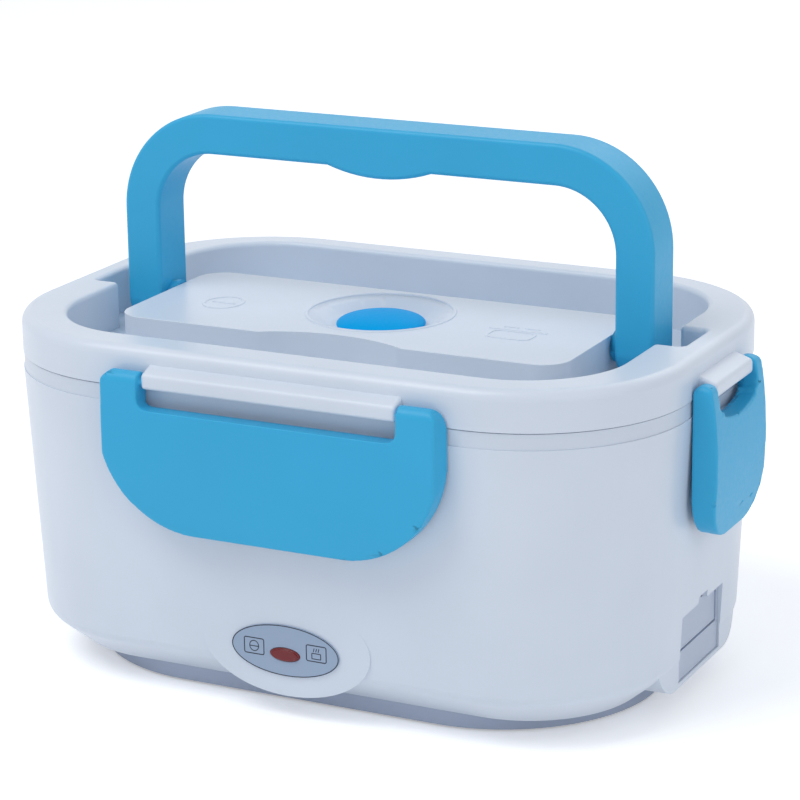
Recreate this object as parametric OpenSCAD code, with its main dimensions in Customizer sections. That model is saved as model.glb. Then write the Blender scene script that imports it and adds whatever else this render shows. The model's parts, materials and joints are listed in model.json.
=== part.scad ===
// Electric lunch box: a heated base with a lift-off lid, four snap latches and a carry handle.
// Millimetres. X runs along the box, Y from front to back, Z up; z = 0 is the table.

/* [Body] */
// Length over the end walls at the top edge of the outer shell
body_l = 217; // [205:1:240]
// Width over the front and back walls at the top edge of the outer shell
body_w = 147; // [143:1:160]
// Radius of the four upright corners at the top edge
corner_r = 50; // [46:1:54]
// Height of the outer shell's top edge above the table
shell_h = 93; // [88:1:105]
// Wall of the outer shell
shell_t = 2.2; // [1.8:0.1:2.4]
// How far the wall leans in from the top edge down to its lower edge
shell_draft = 3.9; // [2:0.1:5]
// Height of the wall's lower edge, where the skirt turns in
lower_z = 15; // [13:0.5:18]
// How far the skirt's inner edge lies inside the top edge
skirt_in = 14.5; // [12:0.5:18]
// Height of the skirt's inner edge above the table
skirt_z = 6; // [5:0.2:8]

/* [Plinth and feet] */
// Length of the plinth under the body
plinth_l = 186; // [170:1:188]
// Width of the plinth
plinth_w = 115; // [104:1:116]
// Corner radius of the plinth
plinth_r = 50; // [40:1:52]
// Thickness of the plinth's floor
plinth_t = 2; // [1.6:0.1:2.4]
// How far the feet stand out below the plinth
foot_out = 0.5; // [0.5:0.1:1.5]
// Radius of a foot
foot_r = 6; // [4:0.5:8]
// Distance between the feet along the box
foot_l = 144; // [120:1:150]
// Distance between the feet across the box
foot_w = 52; // [40:1:56]

/* [Liner and heater] */
// Height of the liner's rim band that shows between the shell and the lid
band_h = 4.8; // [4:0.2:6]
// How far the band's face lies inside the shell's face
band_in = 0.3; // [0.1:0.1:0.6]
// Wall of the liner
liner_t = 1.6; // [1.2:0.1:1.8]
// Width of the rim from the shell's face to the liner's mouth
mouth_in = 4.6; // [4.5:0.1:4.8]
// Height of the heated floor above the table
floor_z = 28; // [27:0.5:32]
// How far the liner's wall leans in from its ledge to its floor
liner_draft = 12; // [11:0.5:14]
// Length of the heating plate
plate_l = 140; // [120:1:150]
// Width of the heating plate
plate_w = 84; // [76:1:88]
// Thickness of the heating plate
plate_t = 1.5; // [1:0.1:2]
// Thickness of the seal under the heating plate
plate_seal_t = 0.6; // [0.4:0.1:1]
// Length of the heating element
heater_l = 60; // [40:1:64]
// Width of the heating element
heater_w = 35; // [24:1:38]
// Thickness of the heating element
heater_t = 6; // [4:0.5:6.5]
// Distance between the base screws along the box
post_l = 120; // [110:1:124]
// Distance between the base screws across the box
post_w = 82; // [80:1:86]

/* [Food containers] */
// Wall of the food tray
tray_t = 1.6; // [1.2:0.1:2]
// Clearance between a container and the wall that it stands in
tray_gap = 0.8; // [0.6:0.1:1.2]
// Length of the side dish box at its mouth
dish_l = 80; // [60:1:82]
// Width of the side dish box at its mouth
dish_w = 89; // [70:1:91]
// Height of the side dish box
dish_h = 46; // [30:1:47]
// Corner radius of the side dish box
dish_r = 20; // [14:1:24]

/* [Lid] */
// Height of the lid's outer wall
lid_h = 12.2; // [11.5:0.1:13]
// Wall of the lid
lid_t = 1.8; // [1.5:0.1:2]
// Fillet along the lid's outer top edge
rim_r = 3.3; // [2:0.1:3.6]
// Depth of the trough that takes the folded handle
trough_depth = 14.8; // [14.5:0.1:15.4]
// Height of the platform's top below the rim
platform_drop = 1.4; // [0.5:0.1:3]
// Distance from the middle to the platform's front edge
platform_front = 38.5; // [36:0.5:39]
// Distance from the middle to the platform's back edge
platform_back = 22.5; // [20:0.5:34]
// Radius of the vent dish at its top edge
dish_top_r = 22.3; // [18:0.5:24]
// Radius of the vent dish at its floor
dish_floor_r = 15; // [14.6:0.1:17]
// Where the vent lies, measured from the middle towards the back
vent_y = -3.7; // [-6:0.1:0]
// Depth of the vent dish
vent_depth = 4.6; // [4:0.2:6]
// Radius of the vent hole
vent_r = 4.2; // [3:0.2:5]
// Radius of the vent stopper's dome
stopper_r = 13.8; // [10:0.2:14.2]
// Thickness of the lid's inner panel
panel_t = 2; // [1.6:0.1:2.4]
// Height of the gasket under the inner panel
gasket_h = 2.1; // [1.5:0.1:3]
// Width of the gasket
gasket_w = 4; // [3:0.2:5]

/* [Handle] */
// Width of a leg seen from the front
leg_w = 12.4; // [9:0.2:12.6]
// Depth of the handle from front to back
handle_depth = 16.8; // [14:0.2:17]
// Height of the handle's top above its pivot
handle_rise = 61.4; // [56:0.2:61.6]
// Height of the handle's bar
bar_t = 12.7; // [10:0.5:13.5]
// Outer corner radius of the handle
handle_corner_r = 32; // [26:1:34]
// How far the grip bulges down in the middle of the bar
grip_drop = 3; // [1:0.5:4]
// Half the length of the grip's bulge
grip_half = 17.5; // [12:0.5:24]
// How far the handle's pivot lies behind the middle of the box
pivot_y = 3.6; // [2.6:0.2:4]
// Height of the handle's pivot above the trough's floor
pivot_up = 9.5; // [9.3:0.1:10]
// Radius of the pivot stub
pivot_r = 3.6; // [2.5:0.1:4.2]

/* [Latches] */
// Width of the front and back latches at their backs
latch_w_front = 112; // [103:1:117]
// How much narrower the front and back latches are at their faces, on each side
latch_taper = 1.7; // [0:0.1:2.4]
// Width of the end latches
latch_w_end = 42; // [38:1:44]
// Width of an ear of the front and back latches
ear_w_front = 13.7; // [9.5:0.1:15.5]
// Width of an ear of the end latches
ear_w_end = 5; // [4:0.2:7]
// How far a latch's face stands out from the lid's wall at its top and bottom
latch_out = 6.4; // [6:0.1:7.2]
// How much further the front and back latches stand out in the middle
bulge_front = 0.8; // [0:0.1:1]
// How much further the end latches stand out in the middle
bulge_end = 2; // [0:0.1:2.4]
// How far the front and back latches reach down from their hinges
drop_front = 45; // [39:0.5:49]
// How far the end latches reach down from their hinges
drop_end = 46.8; // [39:0.2:49]
// Radius of the front and back latches' lower corners
latch_r_front = 32; // [26:1:36]
// Radius of the end latches' lower corners
latch_r_end = 14; // [8:1:18]
// Thickness of a latch's plate at its top and bottom
latch_t = 1.4; // [1:0.1:1.6]
// Radius of a latch's hinge stub
latch_pin_r = 1.1; // [0.8:0.05:1.1]

/* [Inlet and lamp] */
// Half the width of the inlet's face plate
inlet_half = 16.8; // [14:0.2:18]
// Height of the inlet door's hinge above the table
door_z = 18.6; // [18:0.2:19]
// Height of the inlet door
door_h = 10.6; // [9.4:0.2:10.8]
// Distance between the two inlet pins
pin_gap = 8.6; // [7:0.2:9]
// Radius of an inlet pin
pin_r = 1.2; // [0.8:0.1:1.4]
// Half the length of the label plate
label_a = 18; // [14:0.5:20]
// Half the height of the label plate
label_b = 8; // [6:0.5:9]
// Height of the lamp above the table
lamp_z = 20.3; // [19:0.1:21]
// Half the length of the lamp's lens
lens_a = 5; // [3:0.1:6]
// Half the height of the lamp's lens
lens_b = 2.1; // [1.6:0.1:3]

/* [Hidden] */
// Names that node takes
$fn = 96;

white = "#e8edf5";
blue = "#55b2e2";
grey = "#b4bfd0";
steel = "#b9bcc2";
eps = 0.01;
gap = 0.3;                               // running clearance between bodies
half_l = body_l / 2;
half_w = body_w / 2;

// Heights, from the table up
band_z = shell_h + band_h;
lid_z = band_z + gap;                    // lower edge of the lid
rim_z = lid_z + lid_h;
trough_z = rim_z - trough_depth;
under_z = trough_z - lid_t;
panel_z = under_z - panel_t;
gasket_z = panel_z - gasket_h;
tray_top = gasket_z - gap;
ledge_z = tray_top - tray_t - gap;
plate_z = floor_z + plate_seal_t;
tray_z = plate_z + plate_t + gap;
platform_z = rim_z - platform_drop;
pivot_z = trough_z + pivot_up;
hinge_z = lid_z + 3.2;
slot_z = hinge_z - 7.8;                  // top edge of a latch's plate between its ears
slot_r = 3;                              // radius of the slot's lower corners
slot_wall = 2;                           // wall that runs along the slot's edge
slot_sag = 3.4;                          // how far the end latches' slot sags in its middle
catch_z = hinge_z - 16.5;                // underside of the catches on the shell
catch_h = 2.2;
catch_half_front = 17;                   // half the length of the front and back catches
catch_half_end = 10;
lid_screw_l = 110;                       // distance between the lid's screws along the box
lid_screw_w = 36;
lid_screw_y = -4;                        // middle of the lid's screw pattern

// Insets from the shell's outline at its top edge
liner_in = mouth_in - liner_t;
cavity_in = 11.5;
floor_in = cavity_in + liner_draft;
core_in = 39;                            // inner end of the swept floors, where a flat core takes over
flange_in = 38.5;                        // edge of the opening in the shell's underside
lean = liner_draft / (ledge_z - floor_z);
tray_in = cavity_in + tray_gap;
tray_floor_in = floor_in - lean * (tray_z - floor_z) + tray_gap;
tray_inner_floor_in = tray_floor_in - lean * tray_t + tray_t;
panel_in = mouth_in + 1.4;
gasket_in = panel_in + 1.6;

// Trough round the platform, with a pocket outside each of the handle's legs
trough_x = half_l - 17;
trough_front = half_w - 13.2;
trough_back = half_w - 11;
trough_r = 31;
pocket_x = half_l - 8;
pocket_front = pivot_y - handle_depth / 2 - 2.6;
pocket_back = pivot_y + handle_depth / 2 + 1.2;
pocket_r = 2;
handle_half = trough_x - 1.4 - leg_w;    // inner face of a handle leg
platform_half = handle_half - 2.9;
boss_r = pivot_r + 1.3;
dish_z = platform_z - vent_depth;
hinge_out = 3.3;
ear_r = hinge_out - 0.4;
stopper_rise = 3.2;

// Heater group
heater_z = plate_z - heater_t;
stud_off = 12;                           // the studs stand this far inside the screw posts
stud_x = post_l / 2 - stud_off;
stud_y = plate_w / 2 - 6;
well_x = plate_l / 2 - 12;               // half size of the hole under the plate
well_y = plate_w / 2 - 12;
clamp_x = heater_l / 2 + 5;
clamp_t = 1.2;
thermostat_x = heater_l / 2 + 20;
thermostat_r = 8;
fuse_y = 12;

// Inlet and lamp
tongue_in = 3.1;                         // front tongue's face, inside the top edge
tongue_a = 28;                           // half the length of the front tongue
tongue_b = 16;                           // half its height
label_x = 0.5;                           // the label and the lamp lie this far right of the middle
inlet_tongue_half = 32;                  // half the width of the inlet's tongue
tongue_r = 12;                           // radius of its lower corners
tongue_from = half_l - skirt_in - 1;     // inner end of the tongue's walls, outside the liner
inlet_low = skirt_z + 2.8;               // lower edge of the inlet's face plate
inlet_in = shell_draft + 0.2;            // end tongue's face, inside the top edge
inlet_face = half_l - inlet_in - 0.6;    // outer face of the inlet's face plate
inlet_top = door_z + door_h + 0.2;
tab_h = 2.2;
inlet_back = inlet_face - 13.5;
lamp_y = -(half_w - tongue_in);
wire_r = 0.9;

function unit(v) = v / norm(v);
// Points of a fillet of radius r at p1, between the lines to p0 and p2
function fillet(p0, p1, p2, r, n = 6) =
    let (u = unit(p0 - p1), v = unit(p2 - p1), half = acos(u * v) / 2,
        c = p1 + unit(u + v) * r / sin(half), s = p1 + u * r / tan(half) - c, e = p1 + v * r / tan(half) - c,
        from = atan2(s.y, s.x), turn = (atan2(e.y, e.x) - from + 540) % 360 - 180)
    [for (i = [0:n]) c + r * [cos(from + turn * i / n), sin(from + turn * i / n)]];
// Points of an ellipse
function ellipse(a, b, n = 64) = [for (i = [0:n - 1]) [a * cos(360 * i / n), b * sin(360 * i / n)]];

// A block with rounded upright corners, its middle at the origin
module slab(a, b, r, z, h) {
    translate([-a, -(b - r), z]) cube([2 * a, 2 * (b - r), h]);
    translate([-(a - r), -b, z]) cube([2 * (a - r), 2 * b, h]);
    for (x = [-1, 1], y = [-1, 1]) translate([x * (a - r), y * (b - r), z]) cylinder(r = r, h = h);
}

// The body's outline, drawn in by an inset, from z up by h
module outline_slab(inset, z, h) {
    slab(half_l - inset, half_w - inset, corner_r - inset, z, h);
}

// Sweeps a section round a rounded rectangle; the section's x is measured outwards from the outline
module around(a = half_l, b = half_w, r = corner_r) {
    for (i = [0:3]) {
        s = i % 2 == 0 ? [a, b] : [b, a];
        rotate(90 * i) {
            translate([s.x, s.y - r, 0]) rotate([90, 0, 0]) linear_extrude(2 * (s.y - r)) children();
            translate([s.x - r, s.y - r, 0]) rotate_extrude(angle = 90) translate([r, 0]) children();
        }
    }
}

// Copies at the four corners of a rectangle
module at_corners(l, w) {
    for (x = [-1, 1], y = [-1, 1]) translate([x * l / 2, y * w / 2, 0]) children();
}

// A bar along X
module x_rod(r, from, to) {
    translate([from, 0, 0]) rotate([0, 90, 0]) cylinder(r = r, h = to - from);
}

// A round wire through a list of points
module wire(points, r = wire_r) {
    for (i = [0:len(points) - 2]) {
        step = points[i + 1] - points[i];
        tilt = acos(step.z / norm(step));
        translate(points[i]) rotate([0, tilt, atan2(step.y, step.x)])
            cylinder(r = r, h = norm(step), $fn = 24);
        if (i > 0) translate(points[i]) sphere(r = r * 1.04, $fn = 24);
    }
}

// A pan-head screw standing on its head at z, threaded upwards
module screw(z, head_r, head_h, shank_r, length) {
    difference() {
        translate([0, 0, z]) cylinder(r = head_r, h = head_h);
        for (a = [0, 90]) rotate(a) translate([-head_r * 0.6, -0.35, z - eps]) cube([head_r * 1.2, 0.7, 1]);
    }
    translate([0, 0, z + head_h - eps]) cylinder(r = shank_r, h = length);
}

// Moves a piece drawn for the front wall to another wall; outwards is -Y before the move
module on_front() translate([0, -half_w, 0]) children();
module on_back() rotate(180) translate([0, -half_w, 0]) children();
module on_right() rotate(90) translate([0, -half_l, 0]) children();
module on_left() rotate(-90) translate([0, -half_l, 0]) children();

// ---- base ----

function shell_section() =
    let (top = [0, shell_h], edge = [-shell_draft, lower_z], foot = [-skirt_in, skirt_z],
        inner_edge = edge + [-shell_t, 1.1], inner_foot = [-skirt_in - 1, skirt_z + shell_t])
    concat([[-shell_t, shell_h], top], fillet(top, edge, foot, 5), [foot, [-flange_in, skirt_z],
        [-flange_in, skirt_z + shell_t], inner_foot], fillet(inner_foot, inner_edge, [-shell_t, shell_h], 4));

module catch_block(half) {
    reach = hinge_out - 0.7;
    rotate([90, 0, 90]) translate([0, 0, -half]) linear_extrude(2 * half)
        polygon([[1.2, catch_z], [-reach, catch_z], [-reach, catch_z + catch_h - 0.8],
            [0.8, catch_z + catch_h + 2.6]]);
}

module front_tongue(shrink, from, to) {
    translate([label_x, -from, lower_z + 8]) rotate([90, 0, 0]) linear_extrude(to - from)
        polygon(ellipse(tongue_a - shrink, tongue_b - shrink));
}

module inlet_tongue(half, inset, low) {
    intersection() {
        outline_slab(inset, low - 1, 60);
        translate([tongue_from, 0, 0]) rotate([90, 0, 90]) linear_extrude(flange_in) union() {
            translate([-half, low + tongue_r]) square([2 * half, 34 - low - tongue_r]);
            translate([-half + tongue_r, low]) square([2 * (half - tongue_r), 20]);
            for (y = [-1, 1]) translate([y * (half - tongue_r), low + tongue_r]) circle(r = tongue_r);
        }
    }
}

module inlet_window(grow, from, to) {
    translate([from, -inlet_half - grow, inlet_low - grow])
        cube([to - from, 2 * (inlet_half + grow), inlet_top - inlet_low + 2 * grow]);
    translate([from, -3.4 - grow, inlet_top - 1]) cube([to - from, 6.8 + 2 * grow, tab_h + 1 + grow]);
}

module outer_shell() color(white) {
    difference() {
        union() {
            around() polygon(shell_section());
            front_tongue(0, half_w - skirt_in, half_w - tongue_in);
            inlet_tongue(inlet_tongue_half, inlet_in, skirt_z + 1.2);
            on_front() catch_block(catch_half_front);
            on_back() catch_block(catch_half_front);
            on_right() catch_block(catch_half_end);
            on_left() catch_block(catch_half_end);
        }
        front_tongue(2.4, half_w - skirt_in - 8, half_w - tongue_in - shell_t);
        inlet_tongue(inlet_tongue_half - 2, inlet_in + shell_t, skirt_z + shell_t + 1.2);
        inlet_window(0.2, inlet_back, half_l);
        translate([label_x, lamp_y - 1, lamp_z]) rotate([-90, 0, 0]) linear_extrude(6)
            polygon(ellipse(lens_a + 0.1, lens_b + 0.1, 48));
        at_corners(post_l, post_w) translate([0, 0, skirt_z - 1]) cylinder(r = 1.7, h = shell_t + 2);
        slab(half_l - flange_in, half_w - flange_in, corner_r - flange_in,
            skirt_z - 1, shell_t + 2);
    }
}

module base_plate() color(grey) {
    a = plinth_l / 2;
    b = plinth_w / 2;
    difference() {
        union() {
            difference() {
                slab(a, b, plinth_r, foot_out, skirt_z - foot_out);
                slab(a - shell_t, b - shell_t, plinth_r - shell_t, foot_out + plinth_t, skirt_z);
            }
            at_corners(post_l, post_w) translate([0, 0, foot_out + eps])
                cylinder(r = 4.4, h = skirt_z - foot_out - eps);
            at_corners(foot_l, foot_w) translate([0, 0, foot_out + eps]) cylinder(r = foot_r + 1.2, h = 3);
        }
        at_corners(post_l, post_w) {
            translate([0, 0, -1]) cylinder(r = 1.7, h = skirt_z + 2);
            translate([0, 0, -1]) cylinder(r = 3.2, h = foot_out + 1 + 2.6);
        }
        at_corners(foot_l, foot_w) translate([0, 0, -1]) cylinder(r = foot_r + 0.1, h = foot_out + 2.2);
        for (i = [-3:3]) translate([i * 9 - 1.5, -16, 0]) cube([3, 32, 6]);
    }
}

module feet() color("#5b5f66") {
    at_corners(foot_l, foot_w) {
        cylinder(r = foot_r, h = foot_out + 1.2);
    }
}

module base_screws() color(steel) {
    at_corners(post_l, post_w) screw(foot_out + 0.4, 2.9, 2.2, 1.4, 13.5);
}

function liner_section() =
    let (wall_top = [-cavity_in, ledge_z], wall_foot = [-floor_in, floor_z],
        out_top = wall_top + [liner_t, -liner_t], out_foot = wall_foot + [liner_t, -liner_t],
        core = [-core_in - 1, floor_z])
    concat([[-band_in, shell_h], [-band_in, band_z], [-mouth_in, band_z], [-mouth_in, ledge_z], wall_top],
        fillet(wall_top, wall_foot, core, 5), [core, core - [0, liner_t]],
        fillet(core - [0, liner_t], out_foot, out_top, 6),
        [out_top, [-liner_in, ledge_z - liner_t], [-liner_in, shell_h]]);

module inner_liner() color("#dfe6ef") {
    difference() {
        union() {
            around() polygon(liner_section());
            outline_slab(core_in, floor_z - liner_t, liner_t);
            at_corners(post_l, post_w) translate([0, 0, skirt_z + shell_t])
                cylinder(r = 4, h = floor_z - skirt_z - shell_t - liner_t / 2);
        }
        slab(well_x, well_y, 8, floor_z - 5, 10);
        at_corners(post_l, post_w) translate([0, 0, skirt_z]) cylinder(r = 1.45, h = 15);
        at_corners(2 * stud_x, 2 * stud_y) translate([0, 0, floor_z - 5]) cylinder(r = 1.7, h = 10);
    }
}

module plate_seal() color("#c9ccd2") {
    difference() {
        slab(plate_l / 2, plate_w / 2, 14, floor_z, plate_seal_t);
        slab(well_x, well_y, 8, floor_z - 1, 5);
        at_corners(2 * stud_x, 2 * stud_y) translate([0, 0, floor_z - 1]) cylinder(r = 1.7, h = 5);
    }
}

module heating_plate() color("#c8cace") {
    slab(plate_l / 2, plate_w / 2, 14, plate_z, plate_t);
    at_corners(2 * stud_x, 2 * stud_y) translate([0, 0, floor_z - 5.5])
        cylinder(r = 1.5, h = plate_z - floor_z + 6);
    for (x = [-1, 1]) translate([x * clamp_x, 0, heater_z]) difference() {
        cylinder(r = 3, h = heater_t + eps);
        translate([0, 0, -1]) cylinder(r = 1.3, h = 5.5);
    }
}

module plate_nuts() color(steel) {
    at_corners(2 * stud_x, 2 * stud_y) translate([0, 0, floor_z - liner_t - 2.4]) difference() {
        cylinder(r = 3.1, h = 2.4, $fn = 6);
        translate([0, 0, -1]) cylinder(r = 1.55, h = 5);
    }
}

module ptc_heater() color("#9a8f7c") {
    translate([-heater_l / 2, -heater_w / 2, heater_z]) cube([heater_l, heater_w, heater_t]);
    for (y = [-1, 1]) translate([heater_l / 2 - 1, y * (fuse_y - 2) - 2, heater_z + 2.6]) cube([4.4, 4, 0.8]);
}

module heater_clamp() color(steel) {
    difference() {
        union() {
            translate([-clamp_x - 5, -6, heater_z - clamp_t]) cube([2 * clamp_x + 10, 12, clamp_t]);
            translate([-10, -heater_w / 2, heater_z - clamp_t]) cube([20, heater_w, clamp_t]);
        }
        for (x = [-1, 1]) translate([x * clamp_x, 0, heater_z - 5]) cylinder(r = 1.5, h = 10);
    }
}

module clamp_screws() color(steel) {
    for (x = [-1, 1]) translate([x * clamp_x, 0, 0]) screw(heater_z - clamp_t - 1.8, 2.6, 1.8, 1.25, 4.6);
}

module thermostat() color("#3c3f45") {
    translate([thermostat_x, 0, 0]) {
        translate([0, 0, plate_z - 6]) cylinder(r = thermostat_r, h = 6);
        translate([0, 0, plate_z - 8.4]) cylinder(r = thermostat_r - 1.6, h = 2.6);
        for (x = [-1, 1]) translate([x * 4 - 0.4, -2, plate_z - 13]) cube([0.8, 4, 5]);
    }
}

module thermal_fuse() color("#d9d2c0") {
    z = heater_z + 1.6;
    translate([0, -heater_w / 2 - 2.2, z]) {
        x_rod(1.7, -7, 7);
        x_rod(0.5, -12, 16);
    }
    translate([-1.5, -heater_w / 2 - 2.6, z + 1.2]) cube([3, 2.6, 3.2]);
}

module inlet_housing() color("#aeb8c8") {
    plate_from = inlet_face - 3;
    mid_z = door_z + 4;
    difference() {
        union() {
            difference() {
                inlet_window(0, plate_from, inlet_face);
                translate([inlet_face - 1.7, -inlet_half + 1.6, door_z - 0.9])
                    cube([5, 2 * inlet_half - 3.2, 20]);
            }
            translate([inlet_back, -10, mid_z - 5.4]) cube([plate_from - inlet_back + 0.5, 20, 10.8]);
        }
        translate([inlet_back + 1.6, 0, mid_z]) rotate([90, 0, 90]) linear_extrude(20) union() {
            square([8, 7.6], center = true);
            for (y = [-1, 1]) translate([y * 4, 0]) circle(r = 3.8);
        }
        for (y = [-1, 1]) translate([0, y * pin_gap / 2, mid_z])
            x_rod(pin_r + 0.05, inlet_back - 2, inlet_back + 3);
        translate([inlet_face - 0.9, 0, door_z]) rotate([90, 0, 0])
            cylinder(r = 0.55, h = 3 * inlet_half, center = true, $fn = 32);
    }
}

module inlet_pins() color("#c9b27a") {
    mid_z = door_z + 4;
    for (y = [-1, 1]) translate([0, y * pin_gap / 2, mid_z]) {
        x_rod(pin_r, inlet_back - 1, inlet_back + 10);
        translate([inlet_back - 6, -0.4, -1.6]) cube([5.2, 0.8, 3.2]);
    }
}

module inlet_door() color("#a9b5c7") {
    x = inlet_face - 0.9;
    half = inlet_half - 1.9;
    difference() {
        union() {
            translate([x, half, door_z]) rotate([90, 0, 0]) cylinder(r = 0.7, h = 2 * half, $fn = 32);
            translate([x - 0.6, -half, door_z]) cube([1.2, 2 * half, door_h]);
            translate([x - 0.6, -3.1, door_z + door_h - eps]) cube([1.2, 6.2, tab_h]);
        }
        translate([x, 0, door_z]) rotate([90, 0, 0])
            cylinder(r = 0.45, h = 3 * inlet_half, center = true, $fn = 32);
    }
}

module inlet_door_pin() color(steel) {
    translate([inlet_face - 0.9, 0, door_z]) rotate([90, 0, 0])
        cylinder(r = 0.4, h = 2 * inlet_half - 0.6, center = true, $fn = 32);
}

module power_wires() color("#8c2f2b") {
    tab = [inlet_back - 6 - wire_r - gap, pin_gap / 2, door_z + 4];
    heater_tab = [heater_l / 2 + 3, fuse_y - 2, heater_z + 2.2];
    stat = [thermostat_x, 0, plate_z - 13];
    beside = 4.4 + wire_r + gap;
    wire([tab, tab - [4, 0, 6], stat + [beside, 2, -1.6], stat + [beside, 0, 1]]);
    wire([stat + [-beside, 0, 1], stat + [-beside, 2, -1.6], [heater_l / 2 + 6, fuse_y - 2, 14],
        [heater_l / 2 + 3.4, fuse_y - 2, heater_z + 1.9]]);
    low = [tab.x, -tab.y, tab.z];
    fuse = [16 + wire_r, -heater_w / 2 - 2.2, heater_z + 1.6];
    wire([low, low - [4, 2, 7], [40, -heater_w / 2 - 6, 13], [22, -heater_w / 2 - 3, 15], fuse]);
}

module lamp_wires() color("#d7d7d2") {
    for (x = [-1, 1]) {
        from = [label_x + 1.2 * x, lamp_y + 15.2, lamp_z];
        wire([from, from + [2 * x, 6, -5], [8 * x, -heater_w / 2 - 9, 13.5], [12 * x, -heater_w / 2 + 3, 14],
            [12 * x, -heater_w / 2 + 3, heater_z - 0.05]], 0.6);
    }
}

module indicator_lamp() color("#e9b7a4") {
    translate([label_x, lamp_y + 4.2, lamp_z]) rotate([-90, 0, 0]) {
        cylinder(r = 2.4, h = 8.4, $fn = 48);
        for (x = [-1, 1]) translate([1.2 * x, 0, 8]) cylinder(r = 0.4, h = 2.4, $fn = 24);
    }
}

module lamp_holder() color("#d5dae2") {
    translate([label_x, lamp_y, lamp_z]) rotate([-90, 0, 0]) difference() {
        union() {
            translate([0, 0, shell_t]) cylinder(r = 4.6, h = 2);
            translate([0, 0, shell_t]) cylinder(r = 3.6, h = 9.4);
        }
        translate([0, 0, -1]) cylinder(r = 2.45, h = 20, $fn = 48);
        translate([0, 0, shell_t - 1]) linear_extrude(3) polygon(ellipse(lens_a + 0.1, lens_b + 0.1, 48));
    }
}

module lamp_lens() color("#c8302c") {
    translate([label_x, lamp_y - 1.3, lamp_z]) rotate([-90, 0, 0]) {
        linear_extrude(0.5) polygon(ellipse(lens_a - 0.5, lens_b - 0.5, 48));
        translate([0, 0, 0.5]) linear_extrude(1.3 + shell_t + 1.2) polygon(ellipse(lens_a, lens_b, 48));
    }
}

module label_plate() color("#b9c0cb") {
    translate([label_x, lamp_y, lamp_z + 1.2]) rotate([90, 0, 0]) difference() {
        linear_extrude(0.6) polygon(ellipse(label_a, label_b, 96));
        translate([0, -1.2, -1]) linear_extrude(5) polygon(ellipse(lens_a + 0.1, lens_b + 0.1, 48));
    }
}

// ---- food containers ----

function tray_section() =
    let (wall_top = [-tray_in - tray_t, tray_top], wall_foot = [-tray_inner_floor_in, tray_z + tray_t],
        out_top = [-tray_in, tray_top - tray_t], out_foot = [-tray_floor_in, tray_z],
        core = [-core_in - 1, tray_z])
    concat([[-mouth_in - 0.7, tray_top - tray_t], [-mouth_in - 0.7, tray_top], wall_top],
        fillet(wall_top, wall_foot, core + [0, tray_t], 8), [core + [0, tray_t], core],
        fillet(core, out_foot, out_top, 9.5), [out_top]);

module food_tray() color("#eef1f5") {
    around() polygon(tray_section());
    outline_slab(core_in, tray_z, tray_t);
}

dish_z0 = tray_z + tray_t + gap;
dish_x = half_l - tray_inner_floor_in - dish_l / 2 - 3;
dish_in = 2.5;

module side_dish_box() color("#e3ebf4") {
    a = dish_l / 2;
    b = dish_w / 2;
    top = dish_z0 + dish_h;
    inner_foot = [-dish_in - tray_t, dish_z0 + tray_t];
    floor_end = [-dish_r + 3, dish_z0 + tray_t];
    translate([dish_x, 0, 0]) {
        around(a, b, dish_r) polygon(concat([[0, top], [-tray_t, top]],
            fillet([-tray_t, top], inner_foot, floor_end, 5), [floor_end, floor_end - [0, tray_t]],
            fillet(floor_end - [0, tray_t], [-dish_in, dish_z0], [0, top], 6)));
        slab(a - dish_r + 4, b - dish_r + 4, 4, dish_z0, tray_t);
    }
}

module side_dish_lid() color("#6bb7df") {
    a = dish_l / 2 + 1.6;
    b = dish_w / 2 + 1.6;
    top = dish_z0 + dish_h + gap;
    translate([dish_x, 0, 0]) {
        slab(a, b, dish_r + 1.6, top, 1.4);
        around(a, b, dish_r + 1.6) polygon([[0, top + eps], [-1.2, top + eps], [-1.2, top - 4], [0, top - 4]]);
        difference() {
            slab(a - 12, b - 12, dish_r - 8, top + 1.4 - eps, 1);
            slab(a - 14, b - 14, dish_r - 10, top + 1, 3);
        }
    }
}

// ---- lid ----

// The trough's outline, grown by a wall where grow > 0
module trough(grow, z, h) {
    slab_between(trough_x + grow, -trough_front - grow, trough_back + grow, trough_r + grow, z, h);
    slab_between(pocket_x + grow, pocket_front - grow, pocket_back + grow, pocket_r + grow, z, h);
}

// A rounded block from y0 to y1
module slab_between(a, y0, y1, r, z, h) {
    translate([0, (y0 + y1) / 2, 0]) slab(a, (y1 - y0) / 2, r, z, h);
}

// The platform's outline, drawn in by an inset
module platform(inset, z, h) {
    sag = 6;
    chord = 24;
    r = (chord * chord + sag * sag) / (2 * sag);
    difference() {
        slab_between(platform_half - inset, -platform_front + inset, platform_back - inset, 9 - inset, z, h);
        translate([0, -platform_front + sag - r, z - 1]) cylinder(r = r + inset, h = h + 2, $fn = 180);
    }
}

// Copies at the four places of the lid's screws
module at_lid_screws() {
    translate([0, lid_screw_y, 0]) at_corners(lid_screw_l, lid_screw_w) children();
}

// The lug between a latch's ears, in the wall's own frame
module hinge_bar(half) {
    lug = [[2, lid_z + 0.3], [-4.8, lid_z + 0.3], [-5.2, lid_z + 0.7], [-5.2, lid_z + 4], [-4.8, lid_z + 4.6],
        [0, lid_z + 7.5], [2, lid_z + 7.5]];
    difference() {
        rotate([90, 0, 90]) translate([0, 0, -half]) linear_extrude(2 * half) polygon(lug);
        for (x = [-1, 1]) scale([x, 1, 1]) translate([0, -hinge_out, hinge_z])
            x_rod(latch_pin_r + 0.05, half - 4, half + 1);
    }
}

function bar_half(width, ear) = width / 2 - ear - 0.4;

function rim_section() =
    concat([[-12, lid_z], [0, lid_z]], fillet([0, lid_z], [0, rim_z], [-12, rim_z], rim_r), [[-12, rim_z]]);

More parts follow.
